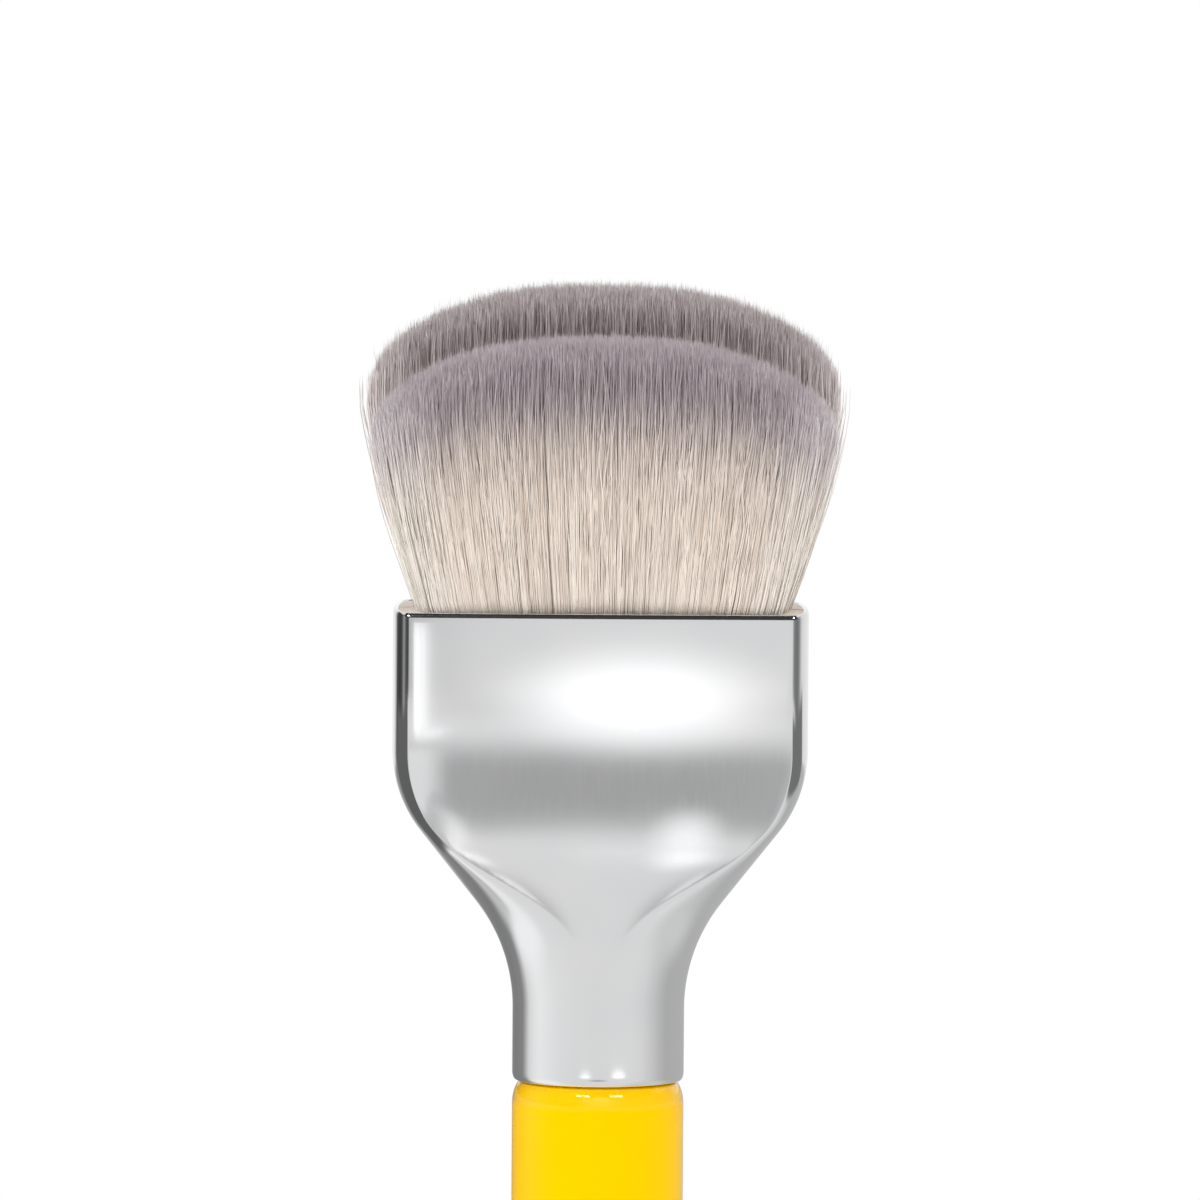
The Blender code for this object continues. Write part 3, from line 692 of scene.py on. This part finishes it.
filamentDesign = {
    "count": 38000,  # filaments in each tuft
    "rootDepth": 0.6 * mm,  # they start this far inside the mouth
    "shellDepth": 1.0 * mm,  # the ones this near the outside are made whole
    "innerLength": 7.0 * mm,  # the others only where their tips show
    "wholeRings": 12, "innerRings": 4,
    "radius": 0.046 * mm,
    "girth": (0.8, 1.15),  # thinnest and thickest, as shares of that
    "taperLength": 4.0 * mm,
    "taperPower": 0.7,
    "tipShare": 0.3,  # of its radius, which the taper runs down to
    "tipLength": 0.9 * mm,  # the end of the filament, which catches the light and is painted paler there as a painted highlight
    "paintedTipHighlight": 0.22,  # painted highlight: how much paler the tip is painted
    "tipHighlightFootShare": 0.4,  # share of that painted highlight at the foot of the tip
    "tipScatter": 0.24 * mm,
    "tipLimits": (-0.6 * mm, 0.5 * mm),  # of that scatter, down and up
    "tone": 0.47,  # usual, from 0 for the darkest to 1 for the palest
    "toneLimits": (0.01, 0.62),
    "clumpTone": 0.05,  # how much it varies from clump to clump
    "shortShare": 0.45,  # filaments that end lower than the rest
    "shortBy": 1.5 * mm,
    "shortMost": 5.0 * mm,
    "clumpSpacing": 0.55 * mm,
    "clumpPull": (0.0, 0.14),  # least and most that a clump draws together
    "clumpScatter": 0.09 * mm,
    "searchBlocks": 80,  # in which the nearest clumps are found, to spare memory
    "bend": 0.75 * mm,  # at the crown
    "strayShare": 0.012,
    "strayBend": 0.8 * mm,
    "waver": 0.14 * mm,  # size of the slow waves along it
    "waverLength": (7.0 * mm, 16.0 * mm),
    "waverHeight": 5.0 * mm,  # over which it grows above the mouth
    "sideThinning": 0.03,  # the tuft thins out over this share of its width
    "thinningPower": 4,  # and more so the nearer they are to the sides
    "thinningInset": 1.4,  # thinnings by which its solid part is narrower
    "furthest": 1.03,  # half widths that a filament may stand out
    "edgeFrom": 0.9,  # beyond this share of the half width
    "edgeBendShare": 0.3,  # filaments bend outwards by only this share
    "paintedSideLight": 0.7,  # painted side light: how much paler the last filaments at the sides are painted, as if lit from the side
    "sideLightFrom": 0.8,  # from this share of the half width
    "sideLightTone": 0.95,  # what their tone runs up to
    "mapAcross": (0.0, 0.012, 0.024),  # where its three sides lie in the map beside its tone
    "mapUp": (0.0, 0.004, 0.0),
    "mapLimits": (0.001, 0.999),
    "pieces": 6,  # pieces across each tuft, which keeps each one light
}
coreDesign = {
    "across": 60, "through": 14, "layers": 24,
    "sideInset": 1.5 * mm,  # from the side of the crown
    "depthShare": 0.86,  # of the tuft's depth
    "belowTips": 3.2 * mm,
    "footTop": 0.10 * mm,  # its wide foot ends this far below the rim
    "bodyStart": 0.08 * mm,  # and its narrower body starts this far below it
    "footWalls": 1.15,  # wall thicknesses from the ferrule's side in to the foot
    "sharpDegrees": 60,
    "streakSize": (0.2 * mm, 6.0 * mm),  # width and length of its streaks of tone
}
dyeDesign = {
    "belowTip": 7.35 * mm,  # where the dye is half way, at the middle of the dome
    "followShare": 0.50,  # how far the dye line follows the dome's fall
    "scatter": 0.75 * mm,
    "fade": ((-6.0, 0.0), (-2.4, 0.17), (0.0, 0.5), (2.0, 0.84), (3.6, 1.0)),  # mm above that, share dyed
    "span": 30.0 * mm,  # what the map's height stands for
    "lineShare": 0.717,  # where the dye line lies in it
    "creams": ("#E6D1C0", "#F4E9DE", "#FDF8F1"),  # undyed, from darkest to palest
}
tufts = {
    "front": {"side": -1, "height": 23.15 * mm, "seed": 11, "toneSpread": 0.09,
              "dyed": ("#8A7E86", "#B8ABB1", "#EFE8EB")},
    "rear": {"side": 1, "height": 27.0 * mm, "seed": 23, "toneSpread": 0.36,
             "dyed": ("#847A7B", "#C0B3B4", "#ECE4E3")},
}


def tuftPlaces(side, u, v, h):
    design = tuftDesign
    inset = ferruleDesign["wall"] + design["faceGap"]
    rootX = boxHalfWidth - ferruleDesign["wall"] - design["sideGap"]
    rootY = boxHalfDepth - ferruleDesign["faceCrown"] - inset
    share = 1 - np.clip(1 - h / design["spreadHeight"], 0, None) ** design["spreadPower"]
    opened = np.clip(share, 0, None)
    halfX = rootX + (design["crownWidth"] / 2 - rootX) * share
    nearY = design["innerGap"] + design["grooveOpening"] * opened
    farY = rootY + design["faceBelly"] * share
    out = nearY + (farY - nearY) * (v + 1) / 2
    rootReach = ferruleDesign["sideReach"] - inset
    reach = rootReach + (design["crownReach"] - rootReach) * opened
    rootCorner, crownCorner = design["grooveCorner"]
    corner = rootCorner + (crownCorner - rootCorner) * opened
    past = np.clip(corner + nearY - out, 0, corner)
    halfX = halfX - reach * (1 - np.sqrt(np.clip(1 - (out / farY) ** 2, 0, 1)))
    halfX = halfX - corner + np.sqrt(corner ** 2 - past ** 2)
    return np.stack([u * halfX + design["offCentre"], side * out, mouthHeight + h], axis=-1)


def domeFall(u):
    design = tuftDesign
    ends = 1 - (1 - np.clip(np.abs(u), 0, 1) ** design["domeWidthPower"]) ** (1 / design["domeEndPower"])
    return design["domeFall"] * ends


def tipHeights(height, u, v):
    design = tuftDesign
    fall = np.where(v > 0, design["faceFall"], design["grooveFall"])
    across = fall * np.abs(v) ** design["fallPower"] * (1 - design["cornerEaseShare"] * u * u)
    return height - domeFall(u) - across


def dyePlace(height, u, h):
    # Where a point lies in the dyed map: the dye line is at lineShare, tips are near 1.
    line = height - dyeDesign["belowTip"] - dyeDesign["followShare"] * domeFall(u)
    return dyeDesign["lineShare"] + (h - line) / dyeDesign["span"]


def dyedFilament(name, dyedCodes, hasMap):
    # Drawn and tapered polyester filament, undyed cream with a dipped mauve grey end: each one
    # is a little lighter or darker than the next, with a soft satin shine.
    # Painted highlight: each filament's tip is placed paler in the tone map.
    # Painted side light: the last filaments at the sides are placed paler in the tone map.
    material, tree = startMaterial(name)
    if hasMap:
        placed = addNode(tree, "UVMap", uv_map="OFBake")
        parts = addNode(tree, "SeparateXYZ", {0: placed}).outputs
        tone, height = parts["X"], parts["Y"]
    else:
        streakWidth, streakLength = coreDesign["streakSize"]
        place = addNode(tree, "TexCoord").outputs["Object"]
        stretched = addNode(tree, "Mapping", {
            "Vector": place, "Scale": (1 / streakWidth, 1 / streakWidth, 1 / streakLength)})
        tone = addNode(tree, "TexNoise", {"Vector": stretched, "Scale": 1.0})
        height = addNode(tree, "Attribute", attribute_name="dye").outputs["Fac"]
    cream, mauve = (addNode(tree, "ValToRGB", {"Fac": tone}, zip((0.0, 0.5, 1.0), codes))
                    for codes in (dyeDesign["creams"], dyedCodes))
    dyed = addNode(tree, "ValToRGB", {"Fac": height},
                   [(dyeDesign["lineShare"] + above * (1 / dyeDesign["span"] * mm), share)
                    for above, share in dyeDesign["fade"]])
    colour = addNode(tree, "MixRGB", {"Fac": dyed, "Color1": cream, "Color2": mauve})
    shader = addNode(tree, "BsdfPrincipled", {
        "Base Color": colour, "Roughness": 0.5, "IOR": 1.5, "Specular IOR Level": 0.25})
    addNode(tree, "OutputMaterial", {"Surface": shader})
    return material


def makeCore(node, tuft, material):
    # The middle of the tuft, built here in place of the imported one, which closes it under the filaments.
    # Its two lowest layers are a wide foot that fills the mouth's ends up to just under the rim.
    design, height = coreDesign, tuft["height"]
    widest = 1 - design["sideInset"] / (tuftDesign["crownWidth"] / 2)
    u, v = np.meshgrid(np.linspace(-1, 1, design["across"]) * widest,
                       np.linspace(-1, 1, design["through"]) * design["depthShare"], indexing="ij")
    u, v = u[..., None], v[..., None]
    start = np.full(design["layers"], -design["bodyStart"])
    start[:2] = -filamentDesign["rootDepth"], -design["footTop"]
    rise = np.concatenate([[0, 0], np.linspace(0, 1, design["layers"] - 2)])
    h = start + (tipHeights(height, u, v) - design["belowTips"] - start) * rise
    points = tuftPlaces(tuft["side"], u, v, h)
    middle = tuftDesign["offCentre"]
    footEnd = boxHalfWidth - design["footWalls"] * ferruleDesign["wall"]
    points[..., :2, 0] = (points[..., :2, 0] - middle) * (footEnd / (points[-1, 0, 0, 0] - middle))
    number = np.arange(h.size).reshape(h.shape)
    faces = []
    for axis in range(3):
        for end, flip in ((0, True), (-1, False)):
            sheet = np.take(number, end, axis=axis)
            quads = np.stack([sheet[:-1, :-1], sheet[1:, :-1], sheet[1:, 1:], sheet[:-1, 1:]], axis=-1)
            quads = quads.reshape(-1, 4)
            turned = flip != (axis == 1) != (tuft["side"] < 0)
            faces.append(quads[:, ::-1] if turned else quads)
    used, corners = np.unique(np.concatenate(faces), return_inverse=True)
    name = node + "_core"
    mesh = newMesh(name, points.reshape(-1, 3)[used], [corners.reshape(-1, 4)], material,
                   design["sharpDegrees"])
    dye = dyePlace(height, u, h).ravel()[used]
    mesh.attributes.new("dye", "FLOAT", "POINT").data.foreach_set("value", dye.astype(np.float32))
    addPiece(name, mesh, node)


def filamentGroup(tuft, draw, rings, low):
    # Rings of three points along each filament and one at its tip, with each one's place in the
    # map: its tone across, and upwards how far it is above or below the dye line.
    design, height = filamentDesign, tuft["height"]
    u, v, top, tone = (draw[key][:, None] for key in ("u", "v", "top", "tone"))
    h = low[:, None] + (top - design["tipLength"] - low[:, None]) * np.linspace(0, 1, rings)
    h = np.concatenate([h, top], axis=1)
    spots = tuftPlaces(tuft["side"], u, v, h)
    grown = np.clip(h / height, 0, None)[..., None] ** 2
    gathered = (draw["clump"][:, None, :] - spots[..., :2]) * draw["pull"][:, None, None]
    phase = h / draw["waverLength"][:, None] * math.tau + draw["phase"][:, None]
    waver = draw["waver"][:, None, :] * np.sin(phase)[..., None]
    waver = waver * np.clip(h / design["waverHeight"], 0, 1)[..., None]
    spots[..., :2] += (gathered + draw["bend"][:, None, :]) * grown + waver
    taper = np.clip((top - h) / design["taperLength"], 0, 1) ** design["taperPower"]
    taper = design["tipShare"] + (1 - design["tipShare"]) * taper
    radius = (design["radius"] * draw["girth"][:, None] * taper)[:, :-1, None]
    angle = draw["angle"][:, None, None] + np.arange(3) * math.tau / 3
    ring = np.repeat(spots[:, :-1, None, :], 3, axis=2)
    ring[..., 0] += radius * np.cos(angle)
    ring[..., 1] += radius * np.sin(angle)
    points = np.concatenate([ring.reshape(len(ring), -1, 3), spots[:, -1:, :]], axis=1)
    mapU = np.repeat(tone[..., None] + design["mapAcross"], rings, axis=1)
    # Painted highlight: the last ring and the tip are placed paler in the map, standing in for the light
    # that catches the tips.
    mapU[:, -1] += design["paintedTipHighlight"] * design["tipHighlightFootShare"]
    highlightedTipU = tone + design["mapAcross"][1] + design["paintedTipHighlight"]
    dye = dyePlace(height, u, h) + draw["dyeShift"][:, None]
    mapV = dye[:, :-1, None] + design["mapUp"]
    mapped = np.stack([np.concatenate([mapU.reshape(len(mapU), -1), highlightedTipU], axis=1),
                       np.concatenate([mapV.reshape(len(mapV), -1), dye[:, -1:]], axis=1)], axis=-1)
    return points, np.clip(mapped, *design["mapLimits"])


def filamentFaces(count, rings, start):
    # One filament's corner numbers, repeated for them all.
    last, tip = 3 * (rings - 1), 3 * rings
    quads = loftFaces(rings, 3, False)
    ends = np.array([[last, last + 1, tip], [last + 1, last + 2, tip], [last + 2, last, tip], [2, 1, 0]])
    steps = start + np.arange(count)[:, None, None] * (tip + 1)
    return (quads + steps).reshape(-1, 4), (ends + steps).reshape(-1, 3)


def drawHeadings(chance, count):
    turns = chance.random(count) * math.tau
    return np.stack([np.cos(turns), np.sin(turns)], axis=-1)


def drawFilaments(tuft):
    # Each filament's place, clump, bend, tone and tip. Every draw keeps its place in the order.
    design, height = filamentDesign, tuft["height"]
    chance = np.random.default_rng(tuft["seed"])
    count = design["count"]
    u, v = chance.uniform(-1, 1, count), chance.uniform(-1, 1, count)
    thinning, furthest = design["sideThinning"], design["furthest"]
    moved = chance.normal(0, thinning, count) * np.abs(u) ** design["thinningPower"]
    u = np.clip(u * (1 - design["thinningInset"] * thinning) + moved, -furthest, furthest)
    tips = tipHeights(height, u, v)
    crown = tuftPlaces(tuft["side"], u, v, tips)[:, :2]
    clumpCount = int(tuftDesign["crownWidth"] * boxHalfDepth / design["clumpSpacing"] ** 2)
    middles = crown[chance.integers(0, count, clumpCount)]
    nearest = np.concatenate([np.argmin(((block[:, None, :] - middles[None]) ** 2).sum(-1), axis=1)
                              for block in np.array_split(crown, design["searchBlocks"])])
    stray = chance.random(count) < design["strayShare"]
    bendSize = np.where(stray, design["strayBend"], design["bend"])
    bend = drawHeadings(chance, count)
    bend *= (np.abs(chance.normal(0, 1, count)) * bendSize)[:, None]
    outward = (np.abs(u) > design["edgeFrom"]) & (u * bend[:, 0] > 0)
    bend[:, 0] *= np.where(outward, design["edgeBendShare"], 1.0)
    waver = drawHeadings(chance, count)
    clumpTone = design["clumpTone"] * chance.normal(0, 1, clumpCount)[nearest]
    tone = design["tone"] + tuft["toneSpread"] * chance.normal(0, 1, count) + clumpTone
    clumpTip = chance.normal(0, design["clumpScatter"], clumpCount)[nearest]
    scatter = np.clip(chance.normal(0, design["tipScatter"], count), *design["tipLimits"])
    short = chance.exponential(design["shortBy"], count) * (chance.random(count) < design["shortShare"])
    scatter -= np.clip(short, 0, design["shortMost"])
    pull = chance.uniform(*design["clumpPull"], clumpCount)[nearest]
    waver *= np.abs(chance.normal(0, design["waver"], count))[:, None]
    waverLength = chance.uniform(*design["waverLength"], count)
    phase = chance.random(count) * math.tau
    girth = chance.uniform(*design["girth"], count)
    angle = chance.random(count) * math.tau
    dyeShift = chance.normal(0, dyeDesign["scatter"], count) / dyeDesign["span"]
    # Painted side light: filaments near the sides get a paler tone, standing in for the light that falls on
    # the tuft's sides.
    sideLit = np.clip((np.abs(u) - design["sideLightFrom"]) / (1 - design["sideLightFrom"]), 0, 1)
    sideLit = design["paintedSideLight"] * sideLit
    edge = np.minimum((1 - np.abs(u)) * tuftDesign["crownWidth"] / 2, (1 - v) * boxHalfDepth / 2)
    return {
        "u": u, "v": v, "whole": edge < design["shellDepth"], "top": tips + scatter + clumpTip,
        "clump": middles[nearest], "pull": pull, "bend": bend, "girth": girth, "angle": angle,
        "waver": waver, "waverLength": waverLength, "phase": phase, "dyeShift": dyeShift,
        "tone": np.clip(tone, *design["toneLimits"]) * (1 - sideLit) + sideLit * design["sideLightTone"],
    }


def makeTuft(label, tuft):
    design, node = filamentDesign, label + "_tuft"
    material = dyedFilament("dyedPolyesterFilament_" + label, tuft["dyed"], True)
    makeCore(node, tuft, dyedFilament("packedPolyesterFilament_" + label, tuft["dyed"], False))
    drawn = drawFilaments(tuft)
    lane = np.clip(((drawn["u"] + 1) / 2 * design["pieces"]).astype(int), 0, design["pieces"] - 1)
    for number in range(design["pieces"]):
        parts, maps, quads, ends, start = [], [], [], [], 0
        for whole, rings in ((True, design["wholeRings"]), (False, design["innerRings"])):
            chosen = (lane == number) & (drawn["whole"] == whole)
            draw = {key: values[chosen] for key, values in drawn.items()}
            root = np.full(len(draw["u"]), -design["rootDepth"])
            low = root if whole else np.maximum(root, draw["top"] - design["innerLength"])
            points, mapped = filamentGroup(tuft, draw, rings, low)
            groupQuads, groupEnds = filamentFaces(len(points), rings, start)
            parts.append(points.reshape(-1, 3))
            maps.append(mapped.reshape(-1, 2))
            quads.append(groupQuads)
            ends.append(groupEnds)
            start += len(parts[-1])
        name = f"{label}_filaments_{number + 1}"
        mesh = newMesh(name, np.concatenate(parts), quads + ends, material)
        corners = np.zeros(len(mesh.loops), np.int32)
        mesh.loops.foreach_get("vertex_index", corners)
        layer = mesh.uv_layers.new(name="OFBake")
        layer.data.foreach_set("uv", np.concatenate(maps)[corners].ravel())
        addPiece(name, mesh, node)
    print(label, "tuft made,", len(lane), "filaments")


for label, tuft in tufts.items():
    makeTuft(label, tuft)


# Inside the ferrule: the thread round each root and the resin under them.
innerDesign = {
    "threadColours": ("#CFC6B4", "#EDE6D8"),
    "plyWidth": 0.6 * mm,
    "plyDepth": 0.05 * mm,
    "resinColours": ("#B98F4E", "#CFA765"),
    "cloudSize": 5.0 * mm,
    "bubbleSpacing": 1.1 * mm,
    "bubbleDepth": 0.08 * mm,
    "clearDepth": 1.5 * mm,  # how far light goes into the resin
}


def waxedCottonThread():
    # Three-ply cotton, waxed: a matt off-white yarn whose plies show as slanted ridges.
    design = innerDesign
    material, tree = startMaterial("waxedCottonThread")
    place = addNode(tree, "TexCoord").outputs["Object"]
    plies = addNode(tree, "TexWave", {"Vector": place, "Scale": 1 / design["plyWidth"] / math.tau,
                                      "Distortion": 1.5}, bands_direction="DIAGONAL")
    tone = addNode(tree, "ValToRGB", {"Fac": plies}, zip((0.2, 0.8), design["threadColours"]))
    bump = addNode(tree, "Bump", {"Height": plies.outputs["Fac"], "Strength": 0.6,
                                  "Distance": design["plyDepth"]})
    shader = addNode(tree, "BsdfPrincipled", {"Base Color": tone, "Roughness": 0.75, "Normal": bump})
    addNode(tree, "OutputMaterial", {"Surface": shader})
    return material


def castEpoxyResin():
    # Epoxy poured round the roots: honey coloured, clear at the skin, with a few tiny bubbles.
    design = innerDesign
    material, tree = startMaterial("castEpoxyResin")
    place = addNode(tree, "TexCoord").outputs["Object"]
    bubbles = addNode(tree, "TexVoronoi", {"Vector": place, "Scale": 1 / design["bubbleSpacing"]})
    pits = addNode(tree, "MapRange", {"Value": bubbles, "From Min": 0.1, "From Max": 0.22})
    bump = addNode(tree, "Bump", {"Height": pits, "Strength": 0.5, "Distance": design["bubbleDepth"]})
    cloud = addNode(tree, "TexNoise", {"Vector": place, "Scale": 1 / design["cloudSize"]})
    tone = addNode(tree, "ValToRGB", {"Fac": cloud}, zip((0.3, 0.7), design["resinColours"]))
    shader = addNode(tree, "BsdfPrincipled", {
        "Base Color": tone, "Roughness": 0.2, "IOR": 1.55, "Normal": bump, "Subsurface Weight": 0.3,
        "Subsurface Radius": (1.0, 0.6, 0.3), "Subsurface Scale": design["clearDepth"]})
    addNode(tree, "OutputMaterial", {"Surface": shader})
    return material


threadLook = waxedCottonThread()
innerLooks = {"front_binding": threadLook, "rear_binding": threadLook, "resin_plug": castEpoxyResin()}
for node, look in innerLooks.items():
    frame["nodes"][node].data.materials.clear()
    frame["nodes"][node].data.materials.append(look)
print("inner pieces finished")
